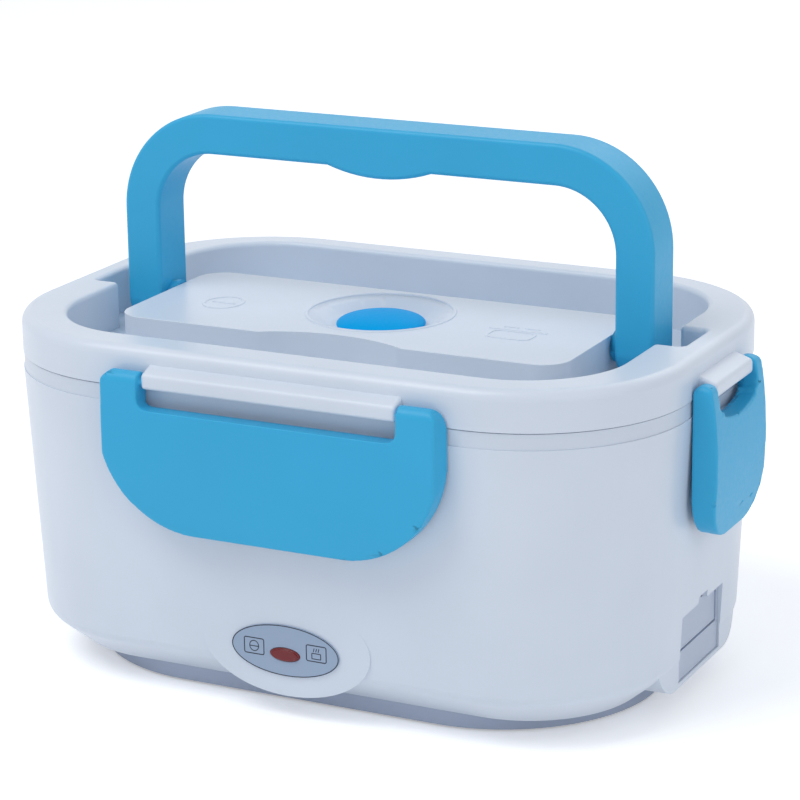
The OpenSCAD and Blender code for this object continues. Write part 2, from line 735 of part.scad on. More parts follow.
module lid_cover() color(white) {
    difference() {
        union() {
            difference() {
                union() {
                    around() polygon(rim_section());
                    outline_slab(10, lid_z, lid_h);
                }
                outline_slab(shell_t, lid_z - 1, lid_h + 1 - lid_t);
            }
            trough(lid_t, under_z, rim_z - under_z - 0.6);
        }
        trough(0, trough_z, lid_h + trough_depth);
        platform(lid_t, under_z - 1, platform_z - under_z);
    }
    difference() {
        platform(0, under_z, platform_z - under_z);
        difference() {
            platform(lid_t, under_z - 1, platform_z - lid_t - under_z + 1);
            translate([0, vent_y, dish_z - lid_t])
                cylinder(r1 = dish_floor_r + lid_t, r2 = dish_top_r + lid_t, h = vent_depth + lid_t);
            for (x = [-1, 1]) scale([x, 1, 1]) translate([0, pivot_y, pivot_z])
                x_rod(boss_r + 1.2, platform_half - 9, platform_half);
            at_lid_screws() translate([0, 0, under_z]) cylinder(r = 3.4, h = 30);
        }
        translate([0, vent_y, dish_z])
            cylinder(r1 = dish_floor_r, r2 = dish_top_r + 0.02, h = vent_depth + 0.01);
        translate([0, vent_y, under_z - 1]) cylinder(r = vent_r, h = 30);
        for (x = [-1, 1]) scale([x, 1, 1]) translate([0, pivot_y, pivot_z])
            x_rod(pivot_r + 0.08, platform_half - 10, platform_half + 1);
        at_lid_screws() translate([0, 0, under_z - 1]) cylinder(r = 1.35, h = 11);
    }
    on_front() hinge_bar(bar_half(latch_w_front, ear_w_front));
    on_back() hinge_bar(bar_half(latch_w_front, ear_w_front));
    on_right() hinge_bar(bar_half(latch_w_end, ear_w_end));
    on_left() hinge_bar(bar_half(latch_w_end, ear_w_end));
}

module lid_inner_panel() color("#dfe6ef") {
    difference() {
        union() {
            outline_slab(panel_in, panel_z, panel_t);
            for (x = [-1, 1]) translate([x * 50 - 30, -1, panel_z - 1]) cube([60, 2, 1 + eps]);
        }
        translate([0, vent_y, panel_z - 3]) cylinder(r = vent_r + 1, h = 10);
        at_lid_screws() translate([0, 0, panel_z - 3]) cylinder(r = 1.6, h = 10);
    }
}

module lid_gasket() color("#cfd6e0") {
    outer = -gasket_in;
    inner = outer - gasket_w;
    around() polygon([[inner, panel_z], [outer, panel_z], [outer, gasket_z + 1], [outer - 1, gasket_z],
        [inner + 1, gasket_z], [inner, gasket_z + 1]]);
}

module lid_screws() color(steel) {
    at_lid_screws() screw(panel_z - 1.8, 2.7, 1.8, 1.3, panel_t + 8);
}

module vent_stopper() color(blue) {
    z0 = dish_z + gap;
    dome = [for (i = [0:12]) [stopper_r * cos(7.5 * i), z0 + 1 + stopper_rise * sin(7.5 * i)]];
    translate([0, vent_y, 0]) rotate_extrude() polygon(concat([[0, panel_z - 1], [vent_r - 1, panel_z - 1],
        [vent_r - 0.3, panel_z], [vent_r - 0.3, z0], [stopper_r - 1, z0], [stopper_r, z0 + 0.6]], dome));
}

// ---- handle and latches ----

module handle_outline() {
    half = handle_half + leg_w;
    top = pivot_z + handle_rise;
    under = top - bar_t;
    inner_r = handle_corner_r - leg_w;
    cut_z = pivot_z - handle_corner_r;
    sag_r = (grip_half * grip_half + grip_drop * grip_drop) / (2 * grip_drop);
    difference() {
        union() {
            translate([-half, pivot_z]) square([2 * half, handle_rise - handle_corner_r]);
            translate([-half + handle_corner_r, pivot_z]) square([2 * (half - handle_corner_r), handle_rise]);
            for (x = [-1, 1]) translate([x * (half - handle_corner_r), top - handle_corner_r])
                circle(r = handle_corner_r);
        }
        difference() {
            union() {
                translate([-handle_half, cut_z]) square([2 * handle_half, under - inner_r - cut_z]);
                translate([-handle_half + inner_r, cut_z]) square([2 * (handle_half - inner_r), under - cut_z]);
                for (x = [-1, 1]) translate([x * (handle_half - inner_r), under - inner_r]) circle(r = inner_r);
            }
            translate([0, under - grip_drop + sag_r]) circle(r = sag_r, $fn = 200);
        }
    }
}

module handle() color(blue) {
    translate([0, pivot_y + handle_depth / 2, 0]) rotate([90, 0, 0]) linear_extrude(handle_depth)
        handle_outline();
    for (x = [-1, 1]) scale([x, 1, 1]) translate([0, pivot_y, pivot_z]) {
        x_rod(handle_depth / 2, handle_half, handle_half + leg_w);
        x_rod(boss_r, platform_half + gap, handle_half + 1);
        x_rod(pivot_r, platform_half - 8, handle_half + 1);
    }
}

// A latch's outline in its own face, drawn in by an inset
module latch_face(half, low_z, low_r, ear_top_r, inset) {
    r = low_r - inset;
    top = hinge_z + ear_r + 1;
    union() {
        translate([-half + inset, low_z + low_r])
            square([2 * (half - inset), top - low_z - low_r - ear_top_r]);
        translate([-half + ear_top_r, low_z + low_r])
            square([2 * (half - ear_top_r), top - low_z - low_r - inset]);
        for (x = [-1, 1]) translate([x * (half - ear_top_r), top - ear_top_r]) circle(r = ear_top_r - inset);
        translate([-half + low_r, low_z + inset]) square([2 * (half - low_r), low_r]);
        for (x = [-1, 1]) translate([x * (half - low_r), low_z + low_r]) circle(r = r);
    }
}

// The slot between a latch's ears, seen from the front; its lower edge sags in an arc
module latch_slot(half, sag) {
    arc_r = sag > 0 ? (half * half + sag * sag) / (2 * sag) : 0;
    translate([-half, slot_z + slot_r]) square([2 * half, 40]);
    translate([-half + slot_r, slot_z]) square([2 * (half - slot_r), slot_r]);
    for (x = [-1, 1]) translate([x * (half - slot_r), slot_z + slot_r]) circle(r = slot_r);
    if (sag > 0) intersection() {
        translate([0, slot_z - sag + arc_r]) circle(r = arc_r, $fn = 200);
        translate([-half + slot_r, slot_z - sag - 1]) square([2 * (half - slot_r), sag + slot_r + 1]);
    }
}

// A latch in the front wall's own frame: its face looks along -Y
module latch(width, ear, catch_half, drop, low_r, bulge, sag = 0, taper = 0) color(blue) {
    half = width / 2;
    out = latch_out + bulge;
    low_z = hinge_z - drop;
    ear_top_r = min(8, ear - 0.6);
    knuckle = ear_r + 0.3;
    bulge_r = (drop * drop / 4 + bulge * bulge) / max(2 * bulge, eps);
    side = concat([[-0.4, low_z - 2], [-0.4, hinge_z]],
        [for (i = [1:8]) [-hinge_out + ear_r * cos(90 * i / 8), hinge_z + ear_r * sin(90 * i / 8)]],
        [for (i = [1:7]) [-latch_out + knuckle * (1 - sin(90 * i / 8)),
            hinge_z + ear_r - knuckle * (1 - cos(90 * i / 8))]],
        [for (i = [0:10]) let (z = hinge_z - i * (drop + 2) / 10, off = z - hinge_z + drop / 2)
            [-out + bulge_r - sqrt(bulge_r * bulge_r - off * off), z]]);
    slot_half = half - ear;
    intersection() {
        difference() {
            rotate([90, 0, 0]) linear_extrude(out + 1) latch_face(half, low_z, low_r, ear_top_r, 0);
            intersection() {
                translate([0, 1, 0]) rotate([90, 0, 0]) linear_extrude(latch_out - latch_t + 1)
                    latch_face(half, low_z, low_r, ear_top_r, 2);
                translate([-half, -out, low_z - 2])
                    cube([width, out + 2, slot_z - sag - slot_wall - low_z + 2]);
            }
            translate([0, 2, 0]) rotate([90, 0, 0]) linear_extrude(out + 4) latch_slot(slot_half, sag);
            translate([-slot_half, -1.6, slot_z - sag - 5]) cube([2 * slot_half, 4, 40]);
            translate([-catch_half - 3, 0.4 - hinge_out, low_z - 3]) cube([2 * catch_half + 6, 10, 20]);
        }
        rotate([90, 0, 90]) translate([0, 0, -half]) linear_extrude(width) polygon(side);
        translate([0, 0, low_z - 1]) linear_extrude(drop + 20)
            polygon([[-half, 1], [-half, 0], [taper - half, -out - 1], [half - taper, -out - 1], [half, 0], [half, 1]]);
    }
    translate([-catch_half - 1, latch_t - latch_out - eps, catch_z - 2.2])
        cube([2 * catch_half + 2, latch_out - latch_t - hinge_out + 0.4, 1.8]);
    for (x = [-1, 1]) scale([x, 1, 1]) translate([0, -hinge_out, hinge_z])
        x_rod(latch_pin_r, slot_half - 3.4, slot_half + 1);
}

module long_latch() latch(latch_w_front, ear_w_front, catch_half_front, drop_front, latch_r_front, bulge_front,
    taper = latch_taper);
module end_latch() latch(latch_w_end, ear_w_end, catch_half_end, drop_end, latch_r_end, bulge_end, slot_sag);
module latch_front() on_front() long_latch();
module latch_back() on_back() long_latch();
module latch_right() on_right() end_latch();
module latch_left() on_left() end_latch();

outer_shell();
base_plate();
feet();
base_screws();
inner_liner();
plate_seal();
heating_plate();
plate_nuts();
ptc_heater();
heater_clamp();
clamp_screws();
thermostat();
thermal_fuse();
inlet_housing();
inlet_pins();
inlet_door();
inlet_door_pin();
power_wires();
lamp_wires();
indicator_lamp();
lamp_holder();
lamp_lens();
label_plate();
food_tray();
side_dish_box();
side_dish_lid();
lid_cover();
lid_inner_panel();
lid_gasket();
lid_screws();
vent_stopper();
handle();
latch_front();
latch_back();
latch_right();
latch_left();
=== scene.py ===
import json
import math

import bpy
from mathutils import Matrix, Vector


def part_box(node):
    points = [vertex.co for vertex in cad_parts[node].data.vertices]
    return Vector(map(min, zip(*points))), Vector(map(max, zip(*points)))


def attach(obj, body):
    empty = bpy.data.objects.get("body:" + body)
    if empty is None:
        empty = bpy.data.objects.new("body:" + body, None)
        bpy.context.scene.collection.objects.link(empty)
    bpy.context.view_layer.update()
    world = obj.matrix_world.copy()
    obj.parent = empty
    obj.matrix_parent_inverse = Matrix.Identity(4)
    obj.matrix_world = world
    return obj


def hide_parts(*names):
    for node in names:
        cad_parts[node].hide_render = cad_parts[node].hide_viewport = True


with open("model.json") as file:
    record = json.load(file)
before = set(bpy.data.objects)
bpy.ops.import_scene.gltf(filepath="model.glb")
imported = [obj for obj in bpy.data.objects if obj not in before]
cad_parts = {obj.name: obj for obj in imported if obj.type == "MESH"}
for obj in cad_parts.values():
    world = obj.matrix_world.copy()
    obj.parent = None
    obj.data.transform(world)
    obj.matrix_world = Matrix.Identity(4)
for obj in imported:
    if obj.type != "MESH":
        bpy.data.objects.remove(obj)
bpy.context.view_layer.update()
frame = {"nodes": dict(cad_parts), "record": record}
mm = 0.001

# Where the photograph was taken from
camera = {
    "place": (0.4018, -0.7973, 0.3437),
    "azimuth": 26.4985,  # degrees, turned from the front towards the inlet's end
    "elevation": 16.4687,
    "roll": -0.7498,
    "lens": 134.55,
    "sensor": 36.0,
    "nearest": 0.05,
}

# Sizes and places here are in metres
stage = {
    "floor": "#ffffff",
    "floorSize": 8.0,
    "floorDrop": 0.0002,
    "floorLift": 0.32,  # what the camera adds to the lit floor, so that it is white and keeps the shadow
    "world": "#f2f6ff",
    "worldLight": 0.54,
}

lamps = {
    "key": {"place": (-0.6, -0.75, 1.6), "size": 1.0, "power": 11.5},
    "fill": {"place": (1.4, -0.6, 0.6), "size": 1.4, "power": 3.4},
    "rim": {"place": (0.2, 1.3, 1.2), "size": 1.2, "power": 3.6},
}
aimHeight = 0.07  # what the lamps point at, above the floor


# A colour as a screen shows it, in the linear values that Blender mixes
def linear(hexColour):
    channels = [int(hexColour[i : i + 2], 16) / 255 for i in (1, 3, 5)]
    return [c / 12.92 if c <= 0.04045 else ((c + 0.055) / 1.055) ** 2.4 for c in channels] + [1.0]


def addNode(tree, kind, inputs=None, links=None, **settings):
    node = tree.nodes.new(kind)
    for name, value in settings.items():
        setattr(node, name, value)
    for name, value in (inputs or {}).items():
        node.inputs[name].default_value = value
    for name, source in (links or {}).items():
        tree.links.new(source, node.inputs[name])
    return node


def blankMaterial(name):
    material = bpy.data.materials.new(name)
    material.use_nodes = True
    material.node_tree.nodes.clear()
    return material, material.node_tree


def addCamera():
    turn = (
        Matrix.Rotation(math.radians(camera["azimuth"]), 4, "Z")
        @ Matrix.Rotation(math.radians(90 - camera["elevation"]), 4, "X")
        @ Matrix.Rotation(math.radians(camera["roll"]), 4, "Z")
    )
    data = bpy.data.cameras.new("photoCamera")
    data.lens = camera["lens"]
    data.sensor_width = camera["sensor"]
    data.clip_start = camera["nearest"]
    eye = bpy.data.objects.new("photoCamera", data)
    eye.matrix_world = Matrix.Translation(camera["place"]) @ turn
    bpy.context.scene.collection.objects.link(eye)
    bpy.context.scene.camera = eye


# 1 for what the camera sees straight, in a mirror or through glass
def seenByCamera(tree):
    path = addNode(tree, "ShaderNodeLightPath")
    direct = addNode(tree, "ShaderNodeMath", operation="MAXIMUM",
                     links={0: path.outputs["Is Camera Ray"], 1: path.outputs["Is Glossy Ray"]})
    return addNode(tree, "ShaderNodeMath", operation="MAXIMUM",
                   links={0: direct.outputs[0], 1: path.outputs["Is Transmission Ray"]}).outputs[0]


def addStage():
    bpy.ops.mesh.primitive_plane_add(size=stage["floorSize"], location=(0, 0, -stage["floorDrop"]))
    floor = bpy.context.object
    floor.name = "floor"
    material, tree = blankMaterial("paper sweep")
    paper = addNode(tree, "ShaderNodeBsdfDiffuse", inputs={"Color": linear(stage["floor"])})
    seen = seenByCamera(tree)
    lift = addNode(tree, "ShaderNodeMath", operation="MULTIPLY",
                   links={0: seen}, inputs={1: stage["floorLift"]})
    glow = addNode(tree, "ShaderNodeEmission", links={"Strength": lift.outputs[0]})
    both = addNode(tree, "ShaderNodeAddShader", links={0: paper.outputs[0], 1: glow.outputs[0]})
    addNode(tree, "ShaderNodeOutputMaterial", links={"Surface": both.outputs[0]})
    floor.data.materials.append(material)

    world = bpy.data.worlds.new("studio")
    bpy.context.scene.world = world
    world.use_nodes = True
    tree = world.node_tree
    tree.nodes.clear()
    soft = addNode(tree, "ShaderNodeBackground",
                   inputs={"Color": linear(stage["world"]), "Strength": stage["worldLight"]})
    white = addNode(tree, "ShaderNodeBackground", inputs={"Color": (1, 1, 1, 1), "Strength": 1.0})
    mixed = addNode(tree, "ShaderNodeMixShader",
                    links={0: seenByCamera(tree), 1: soft.outputs[0], 2: white.outputs[0]})
    addNode(tree, "ShaderNodeOutputWorld", links={"Surface": mixed.outputs[0]})


def addLamp(name, place, size, power):
    data = bpy.data.lights.new(name, "AREA")
    data.size = size
    data.energy = power
    lamp = bpy.data.objects.new(name, data)
    lamp.rotation_euler = (Vector(place) - Vector((0, 0, aimHeight))).to_track_quat("Z", "Y").to_euler()
    lamp.location = place
    bpy.context.scene.collection.objects.link(lamp)


bpy.ops.object.select_all(action="DESELECT")
addCamera()
addStage()
for name, lamp in lamps.items():
    addLamp(name, **lamp)
bpy.context.scene.view_settings.view_transform = "Standard"
print("camera, floor and lamps in place")


noiseRange = {"From Min": 0.3, "From Max": 0.7}  # where nearly all of a noise's values lie

plasticSkin = {
    "flow": 38,  # size in mm of the slow drift in tone
    "drift": 0.03,
    "smoother": 0.03,
    "duller": 0.04,
    "bumpDeep": 0.2,
    "refraction": 1.49,
}


# Moulded plastic: a satin skin with the faint orange peel of a polished mould
def mouldedPlastic(name, colour, roughness, grainMm=1.4, grain=0.03, shine=0.5):
    material, tree = blankMaterial(name)
    place = addNode(tree, "ShaderNodeTexCoord").outputs["Object"]
    peel = addNode(tree, "ShaderNodeTexNoise", links={"Vector": place},
                   inputs={"Scale": 1 / (grainMm * mm), "Detail": 1.0, "Roughness": 0.4})
    flow = addNode(tree, "ShaderNodeTexNoise", links={"Vector": place},
                   inputs={"Scale": 1 / (plasticSkin["flow"] * mm), "Detail": 2.0})
    drift = plasticSkin["drift"]
    tone = addNode(tree, "ShaderNodeMapRange", links={"Value": flow.outputs["Fac"]},
                   inputs={**noiseRange, "To Min": 1 - drift, "To Max": 1 + drift / 2})
    shade = addNode(tree, "ShaderNodeHueSaturation", links={"Value": tone.outputs[0]},
                    inputs={"Color": linear(colour)})
    gloss = addNode(tree, "ShaderNodeMapRange", links={"Value": peel.outputs["Fac"]},
                    inputs={**noiseRange, "To Min": roughness - plasticSkin["smoother"],
                            "To Max": roughness + plasticSkin["duller"]})
    skin = addNode(tree, "ShaderNodeBsdfPrincipled",
                   links={"Base Color": shade.outputs[0], "Roughness": gloss.outputs[0]},
                   inputs={"IOR": plasticSkin["refraction"], "Specular IOR Level": shine})
    if grain:
        bump = addNode(tree, "ShaderNodeBump", links={"Height": peel.outputs["Fac"]},
                       inputs={"Strength": grain, "Distance": plasticSkin["bumpDeep"] * mm})
        tree.links.new(bump.outputs[0], skin.inputs["Normal"])
    addNode(tree, "ShaderNodeOutputMaterial", links={"Surface": skin.outputs[0]})
    return material


metalSkin = {"smoother": 0.08, "duller": 0.1, "bump": 0.1, "bumpDeep": 0.1}


# Worked metal: fine marks left by rolling, turning or plating
def workedMetal(name, colour, roughness, markMm, stretch=(1, 1, 1)):
    material, tree = blankMaterial(name)
    place = addNode(tree, "ShaderNodeTexCoord").outputs["Object"]
    along = addNode(tree, "ShaderNodeMapping", links={"Vector": place}, inputs={"Scale": stretch})
    marks = addNode(tree, "ShaderNodeTexNoise", links={"Vector": along.outputs[0]},
                    inputs={"Scale": 1 / (markMm * mm), "Detail": 4.0})
    gloss = addNode(tree, "ShaderNodeMapRange", links={"Value": marks.outputs["Fac"]},
                    inputs={"To Min": roughness - metalSkin["smoother"],
                            "To Max": roughness + metalSkin["duller"]})
    bump = addNode(tree, "ShaderNodeBump", links={"Height": marks.outputs["Fac"]},
                   inputs={"Strength": metalSkin["bump"], "Distance": metalSkin["bumpDeep"] * mm})
    metal = addNode(tree, "ShaderNodeBsdfPrincipled",
                    links={"Roughness": gloss.outputs[0], "Normal": bump.outputs[0]},
                    inputs={"Base Color": linear(colour), "Metallic": 1.0})
    addNode(tree, "ShaderNodeOutputMaterial", links={"Surface": metal.outputs[0]})
    return material


clearSkin = {"haze": 4, "duller": 0.08}  # size of the haze in mm, and how much it dulls


# Clear or tinted plastic and glass: light goes in and comes out hazy
def clearPlastic(name, colour, roughness, transmission, ior=1.49):
    material, tree = blankMaterial(name)
    place = addNode(tree, "ShaderNodeTexCoord").outputs["Object"]
    haze = addNode(tree, "ShaderNodeTexNoise", links={"Vector": place},
                   inputs={"Scale": 1 / (clearSkin["haze"] * mm), "Detail": 3.0})
    gloss = addNode(tree, "ShaderNodeMapRange", links={"Value": haze.outputs["Fac"]},
                    inputs={"To Min": roughness, "To Max": roughness + clearSkin["duller"]})
    body = addNode(tree, "ShaderNodeBsdfPrincipled", links={"Roughness": gloss.outputs[0]},
                   inputs={"Base Color": linear(colour), "IOR": ior, "Transmission Weight": transmission})
    addNode(tree, "ShaderNodeOutputMaterial", links={"Surface": body.outputs[0]})
    return material


finishes = {
    # a cool, nearly white skin with a satin shine
    "white_polypropylene": mouldedPlastic("moulded white polypropylene", "#dbe4ef", 0.32, grain=0),
    # a shade greyer than the body, so its rim reads as a strip between two seams
    "liner_polypropylene": mouldedPlastic("moulded natural polypropylene", "#d6dfea", 0.36, grain=0),
    # duller and darker, so the plinth recedes under the body
    "grey_polypropylene": mouldedPlastic("moulded grey polypropylene", "#b0bcd1", 0.5, grain=0),
    # a clear sky blue whose edges catch the light
    "blue_polypropylene": mouldedPlastic("moulded sky blue polypropylene", "#35afde", 0.4,
                                         grain=0.04, shine=0.35),
    # deeper than the latches and softer in its shine
    "blue_silicone": mouldedPlastic("moulded blue silicone", "#00a8ea", 0.5, grain=0, shine=0.06),
    # pale and dull, a thin line under the lid
    "clear_silicone": mouldedPlastic("moulded clear silicone", "#d3dae3", 0.5),
    # dark and matt with a fine tooth, which grounds the plinth
    "foot_rubber": mouldedPlastic("moulded grey rubber", "#5f646b", 0.7, grainMm=0.6),
    # the whitest plastic here, clean and smooth like tableware
    "tray_polypropylene": mouldedPlastic("moulded white tray polypropylene", "#eef1f5", 0.33, grain=0),
    # a plain light grey, seen only when the base is off
    "lamp_plastic": mouldedPlastic("moulded lamp holder plastic", "#d6dbe4", 0.4),
    # nearly black and half dull, the darkest piece inside
    "black_phenolic": mouldedPlastic("pressed black phenolic", "#1a1b1e", 0.45),
    # a warm cream glaze with a soft shine
    "fuse_ceramic": mouldedPlastic("glazed fuse ceramic", "#ddd5c3", 0.3),
    # the two leads tell apart by colour: brick red and warm white
    "red_wire": mouldedPlastic("extruded red cable vinyl", "#a32a22", 0.4),
    "white_wire": mouldedPlastic("extruded white cable vinyl", "#e3e2dc", 0.4),
    # smoky and half clear: what lies behind it shows as a shade
    "inlet_plastic": clearPlastic("moulded smoky inlet plastic", "#c8d4e8", 0.3, 0.2),
    # a dull dark red while the lamp behind it is off
    "red_lens": clearPlastic("moulded red lens acrylic", "#7c1219", 0.18, 0.15),
    # thin and clear with a warm tinge
    "lamp_glass": clearPlastic("drawn lamp glass", "#f3c9b6", 0.05, 0.8, 1.5),
    # a dull grey plating, finely mottled
    "zinc_steel": workedMetal("zinc plated steel", "#bcbfc4", 0.35, 0.5),
    # rolling marks run along the sheet
    "heater_aluminium": workedMetal("rolled aluminium sheet", "#cbcdd1", 0.3, 0.6, (1, 12, 12)),
    # greyer and duller than the sheet, with marks along the case
    "heater_case": workedMetal("extruded aluminium case", "#b0b0b0", 0.4, 0.8, (1, 12, 12)),
    # a bright yellow metal with fine turning marks
    "brass_pins": workedMetal("turned brass", "#d2b46c", 0.25, 0.3),
    # a flat grey silver without a mirror shine
    "label_silver": mouldedPlastic("printed silver film", "#9db0c8", 0.38, grain=0),
}
# a matt blue black line on the label
printInk = mouldedPlastic("screen printed ink", "#27303f", 0.5, grain=0)
slots = {entry["node"]: entry["material_slot"] for entry in frame["record"]["subparts"]}
behaviour = frame["record"]["behaviour"]
bodyOf = {node: body for body, nodes in behaviour["bodies"].items() for node in nodes}
pivotOf = {joint["child"]: [value / mm for value in joint["pos_m"]]
           for joint in behaviour["joints"] if "pos_m" in joint}
for node, thing in frame["nodes"].items():
    thing.data.materials.clear()
    thing.data.materials.append(finishes[slots[node]])
print("finishes mixed:", len(finishes))


def hold(thing):
    bpy.ops.object.select_all(action="DESELECT")
    thing.hide_viewport = False
    thing.select_set(True)
    bpy.context.view_layer.objects.active = thing


weld = {"gap": 0.002, "flat": 0.5}  # mm between points taken as one, degrees between faces taken as one


# A copy of a CAD node with its triangles merged into whole faces
def merged(node):
    piece = frame["nodes"][node].copy()
    piece.data = frame["nodes"][node].data.copy()
    piece.name = "dressed_" + node
    piece.parent = None
    for key in list(piece.keys()):
        if key.startswith("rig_"):
            del piece[key]
    bpy.context.scene.collection.objects.link(piece)
    hold(piece)
    bpy.ops.object.mode_set(mode="EDIT")
    bpy.ops.mesh.select_all(action="SELECT")
    bpy.ops.mesh.remove_doubles(threshold=weld["gap"] * mm)
    bpy.ops.mesh.dissolve_limited(angle_limit=math.radians(weld["flat"]))
    bpy.ops.object.mode_set(mode="OBJECT")
    return piece


# Rounds the sharp edges that the test picks; it is given an edge's two ends in millimetres, and clamp is
# off where the picked edges leave room for the whole radius
def soften(piece, radius, test, segments=4, sharp=25, clamp=True):
    hold(piece)
    mesh = piece.data
    normals = {}
    for face in mesh.polygons:
        for key in face.edge_keys:
            normals.setdefault(key, []).append(face.normal)
    points = [vertex.co / mm for vertex in mesh.vertices]
    picked = 0
    for attribute in (mesh.polygons, mesh.edges, mesh.vertices):
        attribute.foreach_set("select", [False] * len(attribute))
    for edge in mesh.edges:
        sides = normals.get(edge.key, [])
        a, b = points[edge.vertices[0]], points[edge.vertices[1]]
        if len(sides) == 2 and math.degrees(sides[0].angle(sides[1], 0)) >= sharp and test(a, b):
            edge.select = True
            picked += 1
    bpy.ops.object.mode_set(mode="EDIT")
    bpy.ops.mesh.select_mode(type="EDGE")
    bpy.ops.mesh.bevel(offset=radius * mm, segments=segments, profile=0.5, affect="EDGES",
                       clamp_overlap=clamp, miter_outer="ARC")
    bpy.ops.object.mode_set(mode="OBJECT")
    print("softened", piece.name, picked, "edges by", radius)


# Smooths a dressed piece, keeps its broad faces flat, and puts it in its node's place
def settle(piece, node, edgeAngle=35, replaces=True):
    hold(piece)
    bpy.ops.object.shade_smooth_by_angle(angle=math.radians(edgeAngle))
    weighted = piece.modifiers.new("weighted", "WEIGHTED_NORMAL")
    weighted.keep_sharp = True
    bpy.ops.object.modifier_apply(modifier="weighted")
    piece.data.materials.clear()
    piece.data.materials.append(finishes[slots[node]])
    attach(piece, bodyOf[node])
    if replaces:
        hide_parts(node)
    print("settled", piece.name, len(piece.data.polygons), "faces")


# A node whose edges are all broken alike
def rounded(node, radius, segments=3):
    piece = merged(node)
    soften(piece, radius, lambda a, b: True, segments)
    settle(piece, node)


# A node's lowest and highest corners in millimetres
def cadBox(node):
    low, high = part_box(node)
    return [value / mm for value in low], [value / mm for value in high]


edgeRadius = {
    "base_plate": 0.5, "feet": 0.3, "inner_liner": 0.25, "food_tray": 0.3, "side_dish_box": 0.3,
    "side_dish_lid": 0.5, "lid_inner_panel": 0.3, "lid_gasket": 0.3, "vent_stopper": 0.3,
    "label_plate": 0.12, "lamp_lens": 0.3, "inlet_housing": 0.15, "inlet_door": 0.15,
}
for node, radius in edgeRadius.items():
    rounded(node, radius)


# Moves the points that the test picks
def nudge(piece, test, move):
    for vertex in piece.data.vertices:
        if test(vertex.co / mm):
            vertex.co = move(vertex.co / mm) * mm


near = 0.05  # two heights or places closer than this are the same

lidCover = {
    "rim": 1.6,
    "platform": 1.6,
    "steps": 5,
    "platformDrop": 1.4,
    "trough": 14.8,
    "dish": 23,
    "pastEndBar": 20,  # beyond these the walls stand free of the hinge bars
    "pastLongBar": 50,
    "pocketFrom": 85,
    "pocketTop": 10,  # an upright edge counts as the pocket's where its middle is this close to the rim
    "wallThick": 10,
    "smooth": 20,
}


# The lid without its hinge bars, with a soft rim and platform
def dressLid():
    rimZ = cadBox("lid_cover")[1][2]
    topZ = rimZ - lidCover["platformDrop"]
    piece = merged("lid_cover")
    points = [vertex.co / mm for vertex in piece.data.vertices]
    wallX = max(abs(point.x) for point in points if abs(point.y) > lidCover["pastEndBar"])
    wallY = max(abs(point.y) for point in points if abs(point.x) > lidCover["pastLongBar"])
    hold(piece)
    bpy.ops.object.mode_set(mode="EDIT")
    bpy.ops.mesh.select_all(action="DESELECT")
    bpy.ops.object.mode_set(mode="OBJECT")
    for vertex in piece.data.vertices:
        point = vertex.co / mm
        vertex.select = abs(point.x) > wallX + near or abs(point.y) > wallY + near
    bpy.ops.object.mode_set(mode="EDIT")
    bpy.ops.mesh.delete(type="VERT")
    bpy.ops.mesh.select_non_manifold()
    bpy.ops.mesh.fill_holes(sides=0)
    bpy.ops.object.mode_set(mode="OBJECT")
    floorZ = rimZ - lidCover["trough"] - 2 * near
    level = lambda a, b, z: abs(a.z - z) < near and abs(b.z - z) < near
    upright = lambda a, b: (a - b).xy.length < near and min(a.z, b.z) > floorZ
    inPocket = lambda a, b: (
        upright(a, b)
        and a.z + b.z > 2 * (rimZ - lidCover["pocketTop"])
        and lidCover["pocketFrom"] < abs(a.x) < wallX - lidCover["wallThick"]
    )
    onDish = lambda a, b: max(abs(a.x), abs(b.x)) <= lidCover["dish"]
    onRim = lambda a, b: level(a, b, rimZ) or inPocket(a, b)
    onPlatform = lambda a, b: level(a, b, topZ) and not onDish(a, b)
    soften(piece, lidCover["rim"], onRim, lidCover["steps"])
    soften(piece, lidCover["platform"], onPlatform, lidCover["steps"])
    settle(piece, "lid_cover", lidCover["smooth"])


dressLid()

# The bars that the latches hang on; the end ones stand out further and lower
hingeBars = {
    "long": {"half": 41.6, "out": 5.2, "low": 99.2, "faceTop": 103.7, "wallTop": 106.3},
    "end": {"half": 15.4, "out": 6.1, "low": 97.9, "faceTop": 102.2, "wallTop": 104.8},
    "edge": 1.1,
    "sharp": 5,
    "root": 1.5,  # how deep a bar reaches into the wall
    "smooth": 30,
}


# One bar on the right end's wall, its top sloping outwards, then turned to its own side
def hingeBar(name, size, wall, turn):
    bpy.ops.object.select_all(action="DESELECT")
    bpy.ops.mesh.primitive_cube_add(size=1)
    bar = bpy.context.object
    bar.name = name
    deep, high = size["out"] + hingeBars["root"], size["wallTop"] - size["low"]
    bar.scale = (deep * mm, 2 * size["half"] * mm, high * mm)
    bar.location = ((wall + size["out"] - deep / 2) * mm, 0, (size["low"] + high / 2) * mm)
    bpy.ops.object.transform_apply(location=True, scale=True)
    nudge(bar, lambda a: a.x > wall and a.z > size["low"] + near,
          lambda a: Vector((a.x, a.y, size["faceTop"])))
    soften(bar, hingeBars["edge"], lambda a, b: max(a.x, b.x) > wall, sharp=hingeBars["sharp"])
    bar.rotation_euler = (0, 0, math.radians(turn))
    bpy.ops.object.transform_apply(rotation=True)
    settle(bar, "lid_cover", hingeBars["smooth"], False)


endWall, longWall = cadBox("inner_liner")[1][:2]
for side, size, wall, turn in (("right", "end", endWall, 0), ("back", "long", longWall, 90),
                               ("left", "end", endWall, 180), ("front", "long", longWall, 270)):
    hingeBar("hinge_bar_" + side, hingeBars[size], wall, turn)

outerShell = {"edge": 0.5, "steps": 4}
rounded("outer_shell", outerShell["edge"], outerShell["steps"])

handle = {"edge": 1.4, "stub": 5.2, "stubIn": 1}


